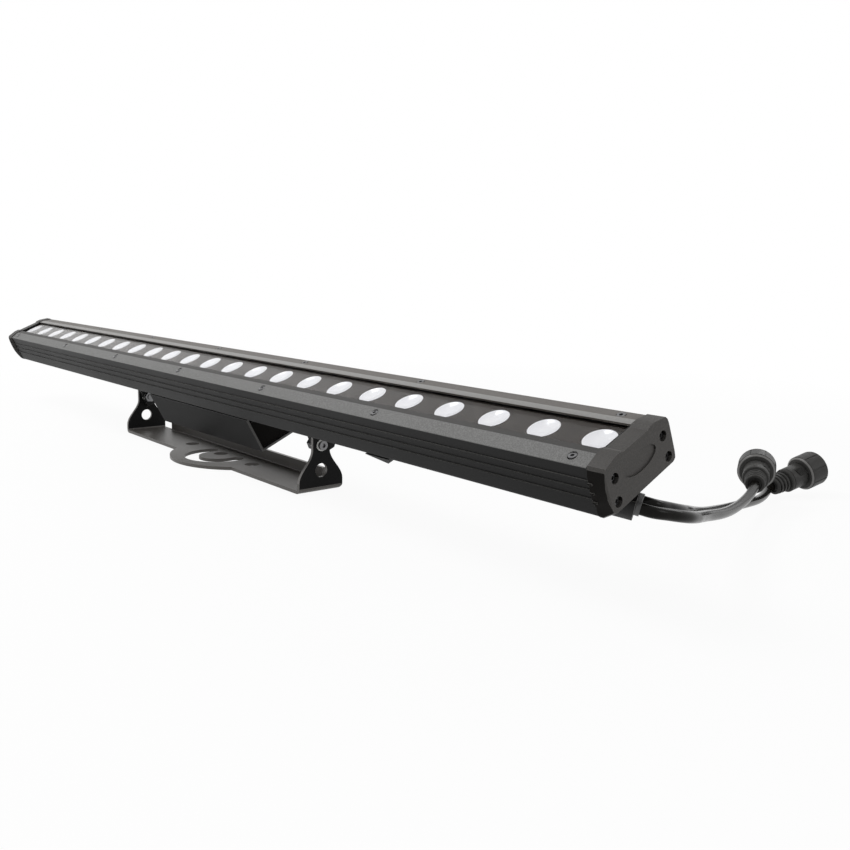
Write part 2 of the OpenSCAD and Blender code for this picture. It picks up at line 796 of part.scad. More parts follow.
// Small control board on four legs
module control_board() color("darkgreen") in_head() {
    x = housing_shift - housing_length / 2 + control_inset;
    floor_z = housing_under + housing_wall;
    top = floor_z + control_rise;
    half = control_size / 2;
    box([x - half[0], -half[1], top - control_size[2]], [x + half[0], half[1], top]);
    box([x - control_chip[0] / 2, -control_chip[1] / 2, top],
        [x + control_chip[0] / 2, control_chip[1] / 2, top + control_chip[2]]);
    for (i = [-1, 1]) for (j = [-1, 1])
        translate([x + i * (half[0] - control_leg_inset), j * (half[1] - control_leg_inset), floor_z])
            cylinder(h = control_rise - control_size[2] / 2, r = control_leg_r);
}

// Leads from the driver up to the underside of the LED board
module driver_leads() color("red") in_head() {
    low = driver_top - supply_tail + seat_gap;
    translate([lead_place, 0, low]) cylinder(h = -tray_depth - low, r = lead_r);
}

// Rubber grommets in the body's bottom
module grommet(x, r) translate([x, 0, 0]) difference() {
    union() {
        translate([0, 0, body_under]) cylinder(h = body_floor, r = grommet_r - seat_gap / 2);
        translate([0, 0, body_under + body_floor]) cylinder(h = grommet_lip, r = grommet_flange_r);
    }
    translate([0, 0, body_under - over])
        cylinder(h = body_floor + grommet_lip + 2 * over, r = r + seat_gap / 2);
}
module lead_grommets() color("black") in_head() {
    grommet(lead_place, lead_r);
    grommet(supply_end, supply_r);
    grommet(supply_start, supply_r);
}

// Supply lead: up from the cable block, along the lower chamber, down to the driver
module supply_lead() color("black") in_head() {
    low = driver_top - supply_tail + seat_gap;
    well_low = block_low + block_wall + seat_gap;
    x_cylinder(supply_r, supply_end, supply_start, 0, -supply_run);
    for (x = [supply_end, supply_start]) translate([x, 0, -supply_run]) sphere(r = supply_r);
    translate([supply_end, 0, low]) cylinder(h = -supply_run - low, r = supply_r);
    translate([supply_start, 0, well_low]) cylinder(h = -supply_run - well_low, r = supply_r);
}

// Pivot lugs, one beside each ear, screwed up into the body
function lug_x(end) = end * lug_face - bar_shift;
function lug_screw_x(end) = lug_x(end) - end * (lug_thick + (lug_foot - lug_thick) / 2);
module lug_outline() {
    low = -pivot_drop - lug_low;
    polygon([[-lug_front, body_under], [lug_top_half, body_under], [lug_back, low + lug_corner],
        [lug_back - lug_corner, low], [-lug_front, low]]);
}
module pivot_lug(end) color([0.12, 0.12, 0.13]) in_head() translate([-bar_shift, 0, 0])
    scale_x(end) difference() {
        union() {
            along_x(lug_face - lug_thick, lug_face) lug_outline();
            box([lug_face - lug_foot, -lug_top_half, body_under - lug_thick],
                [lug_face - lug_thick / 2, lug_top_half, body_under]);
        }
        x_cylinder(bolt_r + thread_clear, lug_face - lug_thick - over, lug_face + over, 0, -pivot_drop);
        for (side = [-1, 1])
            translate([lug_face - lug_thick - (lug_foot - lug_thick) / 2, side * lug_screw_place,
                body_under - lug_thick - over])
                cylinder(h = lug_thick + 2 * over, r = SCREW_5[2] + 2 * thread_clear);
    }
module pivot_lug_right() pivot_lug(1);
module pivot_lug_left() pivot_lug(-1);

module lug_screws() color("silver") in_head() for (end = [-1, 1]) for (side = [-1, 1])
    translate([lug_screw_x(end), side * lug_screw_place, body_under - lug_thick])
        rotate([180, 0, 0]) screw(SCREW_5, lug_screw_length);

// Pivot bolt set, from outside in: head, washer, ear, spacer, lug, washer, nut
module on_pivot() in_head() translate([-bar_shift, 0, -pivot_drop]) both_ends() children();
bolt_seat = ear_x + side_clear + washer_thick;
nut_face = lug_face - lug_thick - washer_thick;
bolt_length = bolt_seat - nut_face + pivot_nut_thick + bolt_tip;

module pivot_bolts() color("silver") on_pivot() translate([bolt_seat, 0, 0]) rotate([0, 90, 0])
    screw([bolt_head_r, bolt_head_height, bolt_r], bolt_length);

module washer(inner, outer, from, thick) difference() {
    x_cylinder(outer, from, from + thick);
    x_cylinder(inner, from - over, from + thick + over);
}
module outer_washers() color("white") on_pivot()
    washer(bolt_r + thread_clear, washer_r, ear_x + side_clear, washer_thick);
module ear_spacers() color("white") on_pivot()
    washer(bolt_r + thread_clear, washer_r, lug_face, spacer_thick);
module inner_washers() color("white") on_pivot()
    washer(bolt_r + thread_clear, washer_r, nut_face, washer_thick);
module pivot_nuts() color("silver") on_pivot() difference() {
    translate([nut_face - pivot_nut_thick, 0, 0]) rotate([0, 90, 0])
        cylinder(h = pivot_nut_thick, r = pivot_nut_width / 2 / cos(30), $fn = 6);
    x_cylinder(bolt_r + thread_clear, nut_face - pivot_nut_thick - over, nut_face + over);
}

// Rest foot: a wedge under the bar's front edge
module rest_foot() color("black") in_head() difference() {
    translate([0, foot_width - half_width, 0]) rotate([90, 0, 0]) linear_extrude(foot_width)
        polygon([[foot_start, body_under], [foot_deep, body_under - foot_depth], [foot_end, body_under]]);
    translate([foot_screw_place, foot_width / 2 - half_width, body_under - foot_depth - over]) {
        cylinder(h = foot_depth + 2 * over, r = SCREW_3[2] + 2 * thread_clear);
        cylinder(h = foot_depth + over - foot_head_sink, r = SCREW_3[0] + seat_gap);
    }
}
module foot_screw() color("silver") in_head()
    translate([foot_screw_place, foot_width / 2 - half_width, body_under - foot_head_sink])
        rotate([180, 0, 0]) screw(SCREW_3, foot_screw_length, foot_head_sink);

// Cable block under the cable end, with a well that the supply lead drops into
block_top = body_under - block_seal_thick;
block_low = body_under - block_depth;
BLOCK_SCREWS = [block_start + block_screw_from, block_start + block_screw_to];
exit_place = [bar_length / 2 - exit_inset, 0, body_under - exit_drop];
exit_axis = [cos(exit_dip) * cos(exit_yaw), cos(exit_dip) * sin(exit_yaw), -sin(exit_dip)];
exit_level = [-sin(exit_yaw), cos(exit_yaw), 0];
exit_side = cos(exit_roll) * exit_level + sin(exit_roll) * cross(exit_axis, exit_level);
module at_exit() translate(exit_place) rotate([exit_roll, exit_dip, exit_yaw]) children();
module block_outline() {
    shoulder = block_top - block_shoulder + block_seal_thick;
    side = block_top - block_side + block_seal_thick;
    polygon([[-block_top_half, block_top], [block_top_half, block_top], [block_half, shoulder],
        [block_half, side], [block_low_half, block_low], [-block_low_half, block_low],
        [-block_half, side], [-block_half, shoulder]]);
}
module well_box(low, high)
    box([block_well_start, -block_well[1] / 2, low],
        [block_well_start + block_well[0], block_well[1] / 2, high]);
module at_block_screws(z) for (x = BLOCK_SCREWS) translate([x, 0, z]) children();

module cable_block() color([0.1, 0.1, 0.1]) in_head() difference() {
    along_x(block_start, block_end) block_outline();
    well_box(block_low + block_wall, body_under);
    at_exit() box([0, -block_reach, -block_reach], [block_reach, block_reach, block_reach]);
    at_block_screws(block_low - over) {
        cylinder(h = block_depth + 2 * over, r = SCREW_3[2] + 2 * thread_clear);
        cylinder(h = block_screw_sink + over, r = SCREW_3[0] + seat_gap);
    }
}
module block_seal() color("dimgray") in_head() difference() {
    box([block_start, -block_top_half, block_top],
        [body_length / 2 - seat_gap, block_top_half, body_under]);
    well_box(block_top - over, body_under + over);
    at_block_screws(block_top - over)
        cylinder(h = block_seal_thick + 2 * over, r = SCREW_3[2] + 2 * thread_clear);
}
module block_screws() color("silver") in_head() at_block_screws(block_low + block_screw_sink)
    rotate([180, 0, 0]) screw(SCREW_3, block_screw_length);

// End flange that the two cables leave side by side
module cable_pair(from, to, r) for (side = [-1, 1])
    x_cylinder(r, from, to, side * cable_pitch / 2, 0);
module cable_stubs() color([0.05, 0.05, 0.05]) in_head() at_exit()
    cable_pair(0, flange_thick, cable_d / 2);
module flange_outline() {
    c = flange_half_width - flange_half_height;
    translate([-c, -flange_half_height]) square([2 * c, 2 * flange_half_height]);
    for (side = [-1, 1]) translate([side * c, 0]) circle(r = flange_half_height);
}
module block_flange() color([0.1, 0.1, 0.1]) in_head() at_exit() difference() {
    along_x(0, flange_thick) flange_outline();
    cable_pair(-over, flange_thick + over, cable_d / 2 + run_clear);
}

// Free cables: a tube swept along a route, its ends square to what they meet
function unit(v) = v / norm(v);
function axis_of(turn) = [cos(turn[1]) * cos(turn[0]), cos(turn[1]) * sin(turn[0]), sin(turn[1])];
function cable_exit(side) =
    head_point(exit_place + flange_thick * exit_axis + side * cable_pitch / 2 * exit_side);
exit_lead = cable_lead * (head_point(exit_place + exit_axis) - head_point(exit_place));
tail_back = nut_length / 2 + shell_length + tail_length;
function cable_path(side, route, nut, turn) = let (
    start = cable_exit(side), end = nut - tail_back * axis_of(turn))
    concat([start, start + exit_lead], route, [end - cable_lead * axis_of(turn), end]);
function path_direction(path, i) = let (n = len(path) - 1)
    i == 0 ? unit(path[1] - path[0]) : i == n ? unit(path[n] - path[n - 1])
    : unit(unit(path[i + 1] - path[i]) + unit(path[i] - path[i - 1]));
function ring(centre, direction, r) = let (
    side = unit(cross([0, 0, 1], direction)), up = cross(direction, side))
    [for (k = [0:cable_sides - 1]) let (a = 360 * k / cable_sides)
        centre + r * (cos(a) * side + sin(a) * up)];
module tube(path, r) {
    n = len(path);
    m = cable_sides;
    points = [for (i = [0:n - 1]) each ring(path[i], path_direction(path, i), r)];
    sides = [for (i = [0:n - 2]) for (k = [0:m - 1]) let (a = i * m + k, b = i * m + (k + 1) % m)
        each [[a, b, b + m], [a, b + m, a + m]]];
    polyhedron(points, concat([[for (k = [m - 1:-1:0]) k]], sides,
        [[for (k = [0:m - 1]) (n - 1) * m + k]]));
}
module power_cable_in() color([0.05, 0.05, 0.05]) tube(cable_path(1, ROUTE_IN, NUT_IN, TURN_IN), cable_d / 2);
module power_cable_out() color([0.05, 0.05, 0.05])
    tube(cable_path(-1, ROUTE_OUT, NUT_OUT, TURN_OUT), cable_d / 2);

// Connectors, drawn along +Z with the middle of the coupling nut at zero
module at_connector(nut, turn) translate(nut) rotate([0, 0, turn[0]]) rotate([0, 90 - turn[1], 0]) children();
shell_front = -nut_length / 2;
shell_back = shell_front - shell_length;

module strain_relief() difference() {
    rib = tail_length / tail_ribs;
    translate([0, 0, shell_back - tail_length]) cylinder(h = tail_length, r1 = tail_end_r, r2 = tail_r);
    for (k = [0:tail_ribs - 1]) translate([0, 0, shell_back - rib * k - tail_rib_gap]) difference() {
        cylinder(h = tail_rib_gap, r = tail_r + over);
        translate([0, 0, -over]) cylinder(h = tail_rib_gap + 2 * over,
            r = tail_r - tail_rib_depth - (tail_r - tail_end_r) * k / tail_ribs);
    }
}
module connector_shell() difference() {
    union() {
        translate([0, 0, shell_back]) cylinder(h = shell_length - neck_length, r = shell_r);
        translate([0, 0, shell_back])
            cylinder(h = shell_length + nut_back + side_clear + over, r = shell_neck_r);
        translate([0, 0, shell_front + nut_back + side_clear]) cylinder(h = shell_flange, r = shell_flange_r);
        translate([0, 0, shell_front + nut_back]) cylinder(h = insert_length, r = insert_r);
    }
    translate([0, 0, shell_front + nut_back + insert_length - insert_well])
        cylinder(h = insert_well + over, r = insert_r - insert_wall);
    rotate([0, 0, grip_turn]) for (side = [-1, 1]) for (k = [1:grip_lines])
        translate([0, side * shell_r, shell_front - neck_length - grip_inset - k * 2 * grip_line])
            box([-grip_length / 2, -grip_depth, 0], [grip_length / 2, grip_depth, grip_line]);
}
module coupling_nut() difference() {
    union() {
        translate([0, 0, shell_front])
            cylinder(h = nut_shoulder, r1 = nut_d / 2 - nut_shoulder, r2 = nut_d / 2);
        translate([0, 0, shell_front + nut_shoulder])
            cylinder(h = nut_length - nut_shoulder - nut_rim, r = nut_d / 2);
        translate([0, 0, nut_length / 2 - nut_rim]) cylinder(h = nut_rim, r = nut_d / 2 - nut_rim_step);
    }
    translate([0, 0, shell_front - over]) cylinder(h = nut_back + 2 * over, r = shell_neck_r + run_clear);
    translate([0, 0, shell_front + nut_back]) cylinder(h = nut_length, r = nut_cavity_r);
    for (k = [0:nut_grooves - 1]) rotate([0, 0, 360 * k / nut_grooves])
        box([nut_d / 2 - nut_groove_depth, -nut_groove_width / 2, shell_front + 2 * nut_shoulder],
            [nut_d / 2 + over, nut_groove_width / 2, nut_length / 2 - nut_rim]);
}
module contacts() for (k = [0:contact_count - 1]) rotate([0, 0, 360 * k / contact_count])
    translate([contact_circle, 0, shell_front + nut_back + insert_length - insert_well])
        cylinder(h = contact_length - insert_well, r = contact_r);

module strain_relief_in() color([0.09, 0.09, 0.09]) at_connector(NUT_IN, TURN_IN) strain_relief();
module strain_relief_out() color([0.09, 0.09, 0.09]) at_connector(NUT_OUT, TURN_OUT) strain_relief();
module connector_in() color([0.1, 0.1, 0.1]) at_connector(NUT_IN, TURN_IN) connector_shell();
module connector_out() color([0.1, 0.1, 0.1]) at_connector(NUT_OUT, TURN_OUT) connector_shell();
module coupling_nut_in() color([0.12, 0.12, 0.12]) at_connector(NUT_IN, TURN_IN) coupling_nut();
module coupling_nut_out() color([0.12, 0.12, 0.12]) at_connector(NUT_OUT, TURN_OUT) coupling_nut();
module contacts_in() color("gold") at_connector(NUT_IN, TURN_IN) contacts();
module contacts_out() color("gold") at_connector(NUT_OUT, TURN_OUT) contacts();
module o_ring() translate([0, 0, shell_front + nut_back + side_clear + shell_flange + o_ring_r])
    rotate_extrude() translate([insert_r + o_ring_r + seat_gap, 0]) circle(r = o_ring_r);
module connector_seals() color("orangered") {
    at_connector(NUT_IN, TURN_IN) o_ring();
    at_connector(NUT_OUT, TURN_OUT) o_ring();
}

bracket();
body_extrusion();
rail_front();
rail_back();
rail_screws_front();
rail_screws_back();
window_seal();
front_glass();
lens_plate();
lenses();
lens_holders();
led_chips();
led_board();
board_screws();
end_cap_right();
end_cap_left();
cap_seal_right();
cap_seal_left();
cap_screws_right();
cap_screws_left();
driver_housing();
housing_end_right();
housing_end_left();
housing_screws();
driver_module();
control_board();
driver_leads();
lead_grommets();
supply_lead();
pivot_lug_right();
pivot_lug_left();
lug_screws();
pivot_bolts();
outer_washers();
ear_spacers();
inner_washers();
pivot_nuts();
rest_foot();
foot_screw();
cable_block();
block_seal();
block_flange();
block_screws();
cable_stubs();
power_cable_in();
power_cable_out();
strain_relief_in();
strain_relief_out();
connector_in();
connector_out();
coupling_nut_in();
coupling_nut_out();
contacts_in();
contacts_out();
connector_seals();
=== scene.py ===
import json
import math

import bpy
from mathutils import Matrix, Vector


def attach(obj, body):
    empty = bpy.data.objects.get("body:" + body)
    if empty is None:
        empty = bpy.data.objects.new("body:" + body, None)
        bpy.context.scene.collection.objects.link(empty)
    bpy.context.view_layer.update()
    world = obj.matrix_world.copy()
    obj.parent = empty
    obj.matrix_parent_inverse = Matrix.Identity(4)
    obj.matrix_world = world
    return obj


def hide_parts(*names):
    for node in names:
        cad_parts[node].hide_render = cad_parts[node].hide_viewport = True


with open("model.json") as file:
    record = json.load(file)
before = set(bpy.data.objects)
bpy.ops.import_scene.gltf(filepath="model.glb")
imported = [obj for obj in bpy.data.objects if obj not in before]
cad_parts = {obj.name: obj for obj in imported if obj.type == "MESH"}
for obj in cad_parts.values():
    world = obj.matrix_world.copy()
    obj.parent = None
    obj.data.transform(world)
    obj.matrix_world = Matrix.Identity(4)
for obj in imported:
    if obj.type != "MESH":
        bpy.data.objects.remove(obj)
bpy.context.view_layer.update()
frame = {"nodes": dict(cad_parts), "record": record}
nodes = frame["nodes"]
mm = 0.001
weldGap = 2e-6
flatAngle = 0.5
print("frame loaded,", len(nodes), "nodes")


# Camera: the photograph's view, on the cable end of the bar, slightly above it
view = {
    "place": (0.7880, -0.4203, 0.1852),
    "right": (0.654997, 0.755201, 0.025511),
    "up": (-0.143329, 0.091021, 0.985481),
    "lens": 37.764,
    "sensor": 36,
}


def placeCamera():
    right, up = Vector(view["right"]), Vector(view["up"])
    back = right.cross(up).normalized()
    up = back.cross(right).normalized()
    data = bpy.data.cameras.new("photoCamera")
    data.lens = view["lens"]
    data.sensor_width = view["sensor"]
    data.clip_start = 0.01
    camera = bpy.data.objects.new("photoCamera", data)
    turn = Matrix((right, up, back)).transposed().to_4x4()
    camera.matrix_world = Matrix.Translation(view["place"]) @ turn
    bpy.context.scene.collection.objects.link(camera)
    bpy.context.scene.camera = camera


placeCamera()
bpy.context.scene.view_settings.view_transform = "Standard"


# Modelling helpers
def selectOnly(piece=None):
    if bpy.context.object and bpy.context.object.mode != "OBJECT":
        bpy.ops.object.mode_set(mode="OBJECT")
    bpy.ops.object.select_all(action="DESELECT")
    if piece:
        piece.select_set(True)
        bpy.context.view_layer.objects.active = piece


def applyModifiers(piece):
    selectOnly(piece)
    for modifier in list(piece.modifiers):
        bpy.ops.object.modifier_apply(modifier=modifier.name)


def bevelEdges(piece, width, angle=32, material=-1):
    bevel = piece.modifiers.new("edges", "BEVEL")
    bevel.width = width * mm
    bevel.segments = 2
    bevel.limit_method = "ANGLE"
    bevel.angle_limit = math.radians(angle)
    bevel.material = material  # the bevel faces take the second finish, a painted highlight along the edges
    applyModifiers(piece)


def smoothShade(piece, angle):
    selectOnly(piece)
    bpy.ops.object.shade_smooth_by_angle(angle=math.radians(angle))


def settleNormals(piece):
    weighted = piece.modifiers.new("settled", "WEIGHTED_NORMAL")
    weighted.keep_sharp = True
    applyModifiers(piece)


def turnedPiece(name, profile, sides=72, tube=False):
    # a disc or a bare ring at the first height, then one extrusion and one resize for each step
    selectOnly()
    startZ, startR = profile[0][0] * mm, profile[0][1] * mm
    bpy.ops.mesh.primitive_circle_add(
        vertices=sides, radius=startR, fill_type="NOTHING" if tube else "NGON", location=(0, 0, startZ)
    )
    piece = bpy.context.object
    piece.name = name
    bpy.ops.object.transform_apply(location=True, rotation=True, scale=True)
    bpy.ops.object.mode_set(mode="EDIT")
    bpy.ops.mesh.select_all(action="SELECT")
    for (z0, r0), (z1, r1) in zip(profile, profile[1:]):
        bpy.ops.mesh.extrude_region_move(TRANSFORM_OT_translate={"value": (0, 0, (z1 - z0) * mm)})
        if r1 != r0:
            bpy.ops.transform.resize(value=(r1 / r0, r1 / r0, 1), center_override=(0, 0, z1 * mm))
    bpy.ops.mesh.select_all(action="SELECT")
    bpy.ops.mesh.remove_doubles(threshold=weldGap)
    bpy.ops.mesh.normals_make_consistent(inside=False)
    bpy.ops.object.mode_set(mode="OBJECT")
    return piece


def boxPiece(name, low, high):
    selectOnly()
    bpy.ops.mesh.primitive_cube_add(size=1, location=[(a + b) / 2 * mm for a, b in zip(low, high)])
    piece = bpy.context.object
    piece.name = name
    piece.scale = [(b - a) * mm for a, b in zip(low, high)]
    bpy.ops.object.transform_apply(location=True, rotation=True, scale=True)
    return piece


def moveMesh(piece, matrix):
    piece.data.transform(matrix)
    piece.data.update()
    return piece


def copyOf(piece, name, matrix=None):
    twin = bpy.data.objects.new(name, piece.data.copy())
    bpy.context.scene.collection.objects.link(twin)
    return moveMesh(twin, matrix) if matrix else twin


def joinPieces(first, others):
    selectOnly(first)
    for piece in others:
        piece.select_set(True)
    bpy.ops.object.join()
    return first


def cutAway(piece, cutter):
    cut = piece.modifiers.new("cut", "BOOLEAN")
    cut.operation = "DIFFERENCE"
    cut.solver = "EXACT"
    cut.object = cutter
    applyModifiers(piece)
    bpy.data.objects.remove(cutter)


def cleanCopy(node, name):
    # a merged copy of a CAD node with its flat faces made whole
    piece = copyOf(nodes[node], name)
    piece.data.materials.clear()
    selectOnly(piece)
    bpy.ops.object.mode_set(mode="EDIT")
    bpy.ops.mesh.select_all(action="SELECT")
    bpy.ops.mesh.remove_doubles(threshold=weldGap)
    bpy.ops.mesh.dissolve_limited(angle_limit=math.radians(flatAngle))
    bpy.ops.object.mode_set(mode="OBJECT")
    return piece


def tintFaces(piece, wanted, back=None, slot=1):
    # gives one finish slot to the faces that match, with their place in millimetres
    turn = (back or Matrix()).to_3x3()
    for face in piece.data.polygons:
        centre = (back @ face.center if back else face.center) / mm
        if wanted(centre, turn @ face.normal):
            face.material_index = slot


def standIn(piece, body, slot, *replaced):
    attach(piece, body)
    if replaced:
        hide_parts(*replaced)
    return piece


# Cables: their routes, which the frame's tubes follow too
cables = {
    "diameter": 7.2,
    "barShift": 10,
    "tilt": 24.5,
    "pivotHeight": 40.2,
    "pivotDrop": 62.9,
    "exit": (490.5, 0, -40.5),
    "exitYaw": 23.5,
    "exitDip": 23,
    "exitRoll": -7,
    "flange": 3,
    "pitch": 8.2,
    "lead": 4,
    "tailBack": 42.5,
}
connectorIn = {"centre": (429.5, 344.5, 21.5), "yaw": 75, "lift": 15}
connectorOut = {"centre": (422.5, 268.5, 31.5), "yaw": 117.5, "lift": 6}
routeOut = [
    (515.5, 2, 55.5), (516, 19.5, 51.5), (510.5, 35.5, 47.5), (503.5, 51.5, 44),
    (498, 68, 40.5), (493, 84, 37), (488, 101, 34), (482.5, 117.5, 31), (477.5, 133.5, 29),
    (471.5, 150, 27), (466.5, 166, 26), (460.5, 182.5, 25), (455, 199, 25), (449.5, 215, 26),
]
routeIn = [
    (508.5, 10.5, 56.5), (505.5, 27.5, 52), (499, 43.5, 48), (492, 59, 43.5),
    (486, 75, 39), (480.5, 91.5, 35), (475, 107.5, 31.5), (469.5, 124, 28.5),
    (464.5, 140.5, 25.5), (459.5, 157, 22.5), (455, 173.5, 20), (450.5, 190.5, 18),
    (446, 207, 15.5), (441.5, 223.5, 13), (437, 240, 11), (432.5, 257, 9), (427.5, 273.5, 7.5),
    (421.5, 289.5, 8),
]


def headMatrix():
    c = cables
    return (
        Matrix.Translation(Vector((c["barShift"], 0, c["pivotHeight"])) * mm)
        @ Matrix.Rotation(math.radians(c["tilt"]), 4, "X")
        @ Matrix.Translation(Vector((0, 0, c["pivotDrop"])) * mm)
    )


def exitMatrix():
    # along +X out of the end flange, with the cables side by side along Y
    c = cables
    return (
        headMatrix() @ Matrix.Translation(Vector(c["exit"]) * mm)
        @ Matrix.Rotation(math.radians(c["exitYaw"]), 4, "Z")
        @ Matrix.Rotation(math.radians(c["exitDip"]), 4, "Y")
        @ Matrix.Rotation(math.radians(c["exitRoll"]), 4, "X")
    )


def connectorMatrix(connector):
    return (
        Matrix.Translation(Vector(connector["centre"]) * mm)
        @ Matrix.Rotation(math.radians(connector["yaw"]), 4, "Z")
        @ Matrix.Rotation(math.radians(90 - connector["lift"]), 4, "Y")
    )


def cablePath(side, route, connector):
    c = cables
    start = exitMatrix() @ (Vector((c["flange"], side * c["pitch"] / 2, 0)) * mm)
    out = (exitMatrix().to_3x3() @ Vector((1, 0, 0))) * c["lead"] * mm
    end = connectorMatrix(connector) @ Vector((0, 0, -c["tailBack"] * mm))
    axis = connectorMatrix(connector).to_3x3() @ Vector((0, 0, 1))
    return [start, start + out] + [Vector(p) * mm for p in route] + [end - c["lead"] * mm * axis, end]


evening = {"pull": 0.5, "push": -0.52, "rounds": 5}


def evenRoute(path):
    # evens out the rounding of the inner points and leaves the bends where they are
    for pull in (evening["pull"], evening["push"]) * evening["rounds"]:
        inner = [b + pull * ((a + c) / 2 - b) for a, b, c in zip(path[1:], path[2:-2], path[3:])]
        path = path[:2] + inner + path[-2:]
    return path


def makeCable(name, path):
    data = bpy.data.curves.new(name, "CURVE")
    data.dimensions = "3D"
    data.resolution_u = 10
    data.bevel_depth = cables["diameter"] / 2 * mm
    data.bevel_resolution = 8
    data.use_fill_caps = True
    spline = data.splines.new("BEZIER")
    spline.bezier_points.add(len(path) - 1)
    last = len(path) - 1
    for i, (point, place) in enumerate(zip(spline.bezier_points, path)):
        before, after = path[max(i - 1, 0)], path[min(i + 1, last)]
        stepIn, stepOut = (place - before).length, (after - place).length
        if i in (0, last):
            along = (after - before).normalized()
        else:
            along = ((place - before) / stepIn * stepOut + (after - place) / stepOut * stepIn).normalized()
        point.co = place
        point.handle_left_type = point.handle_right_type = "FREE"
        point.handle_left = place - along * stepIn / 3
        point.handle_right = place + along * stepOut / 3
    cable = bpy.data.objects.new(name, data)
    bpy.context.scene.collection.objects.link(cable)
    return cable


def pathLength(path):
    return sum((b - a).length for a, b in zip(path, path[1:]))


pathIn = evenRoute(cablePath(1, routeIn, connectorIn))
pathOut = evenRoute(cablePath(-1, routeOut, connectorOut))
cableIn = standIn(makeCable("powerCableIn", pathIn), "head", "cable", "power_cable_in")
cableOut = standIn(makeCable("powerCableOut", pathOut), "head", "cable", "power_cable_out")
print("cables laid", round(pathLength(pathIn), 4), round(pathLength(pathOut), 4))


# Strain reliefs: rings on a cone, along +Z with the coupling nut's middle at zero
reliefSizes = {
    "back": -42.5, "front": -28.5, "rMouth": 7.6, "rFront": 8.6, "rings": 4, "gap": 1.3, "core": 1.5,
    "edge": 0.4, "wall": 0.05,
}


def makeRelief(name):
    s = reliefSizes
    step = (s["front"] - s["back"]) / s["rings"]
    edge, wall = s["edge"], s["wall"]
    profile = [
        (s["back"] + 2.5, s["rMouth"] - 2.2), (s["back"], s["rMouth"] - 2.0),
        (s["back"], s["rMouth"] - 0.5), (s["back"] + 0.5, s["rMouth"]),
    ]
    for k in range(s["rings"]):
        low = s["back"] + step * k
        high = low + step
        r = s["rMouth"] + (s["rFront"] - s["rMouth"]) * (k + 1) / s["rings"]
        if k:
            profile += [(low + wall, r - s["core"]), (low + 0.1, r - edge), (low + 0.5, r)]
        lip = high - s["gap"]
        profile += [(lip - edge, r), (lip, r - edge), (lip + wall, r - s["core"])]
    profile += [(s["front"], s["rFront"] - s["core"])]
    relief = turnedPiece(name, profile)
    # painted highlight: the ring chamfers that face the nut take the lighter edge finish
    tintFaces(relief, lambda c, n: 0.35 < n.z < 0.95 and math.hypot(c.x, c.y) > s["rMouth"] - 0.5)
    smoothShade(relief, 35)
    return relief


# Connector shells: a smooth body, the neck and flange inside the nut, the insert and the grips
shellSizes = {
    "back": -28.5, "front": -9.9, "r": 10.4, "neck": 9.4, "flange": 11.6, "insert": 8.6, "well": 7,
    "flangeBack": -6.4, "flangeFront": -3.4, "tip": 5.5, "tipEdge": 5.2, "wellFloor": 0.5,
}
gripSizes = {
    "lines": 5, "step": 1.7, "width": 0.75, "length": 7.6, "front": -11, "slant": 22, "out": 0.3, "turn": -40,
    "root": 1.4, "edge": 0.18,
}
facetSizes = {"half": 4.6, "sink": 0.8, "over": 0.6, "low": -20.4, "high": -10.4}


def makeGrip():
    # slanted ridges on a flat facet, facing +Y
    s, r = gripSizes, shellSizes["r"]
    ridges = []
    for k in range(s["lines"]):
        z = s["front"] - s["step"] * (k + 0.5)
        half, thick = s["length"] / 2, s["width"] / 2
        ridge = boxPiece("ridge", (-half, r - s["root"], -thick), (half, r + s["out"], thick))
        bevelEdges(ridge, s["edge"])
        slant = Matrix.Rotation(math.radians(s["slant"]), 4, "Y")
        moveMesh(ridge, Matrix.Translation((0, 0, z * mm)) @ slant)
        ridges.append(ridge)
    return joinPieces(ridges[0], ridges[1:])


def makeShell(name):
    s = shellSizes
    r = s["r"]
    profile = [
        (s["back"], r - 2.2), (s["back"], r - 1.1), (s["back"] + 0.3, r - 0.35), (s["back"] + 0.9, r),
        (s["back"] + 2.6, r), (s["back"] + 2.9, r - 0.5), (s["back"] + 3.3, r - 0.5),
        (s["back"] + 3.6, r - 0.05),
        (s["front"] - 0.7, r - 0.05), (s["front"] - 0.2, r - 0.4), (s["front"], s["neck"]),
        (s["flangeBack"], s["neck"]), (s["flangeBack"], s["flange"]),
        (s["flangeFront"], s["flange"]), (s["flangeFront"], s["insert"]),
        (s["tipEdge"], s["insert"]), (s["tip"], s["insert"] - 0.3), (s["tip"], s["well"] + 0.2),
        (s["tipEdge"], s["well"]), (s["wellFloor"], s["well"]), (s["wellFloor"], 1.0),
    ]
    shell = turnedPiece(name, profile)
    f = facetSizes
    grips = []
    for angle in (gripSizes["turn"], gripSizes["turn"] + 180):
        turn = Matrix.Rotation(math.radians(angle), 4, "Z")
        facet = boxPiece(
            "facet", (-f["half"], r - f["sink"], f["low"]), (f["half"], r + f["over"], f["high"])
        )
        cutAway(shell, moveMesh(facet, turn))
        grips.append(moveMesh(makeGrip(), turn))
    # painted highlight: the rear rim and the front rim take the lighter edge finish
    tintFaces(shell, lambda c, n: s["back"] < c.z < s["back"] + 0.8 and n.z < 0.7)
    tintFaces(shell, lambda c, n: s["front"] - 0.8 < c.z < s["front"] + 0.01)
    joinPieces(shell, grips)
    smoothShade(shell, 35)
    return shell


# Coupling nuts: a wide ring with eight thin grooves, open at the front
nutSizes = {
    "back": -9.5, "front": 9.5, "r": 15.2, "cavity": 12.8, "bore": 9.45, "wall": 3, "rim": 2.2, "grooves": 8,
    "grooveHalf": 0.5, "grooveDeep": 0.45,
}


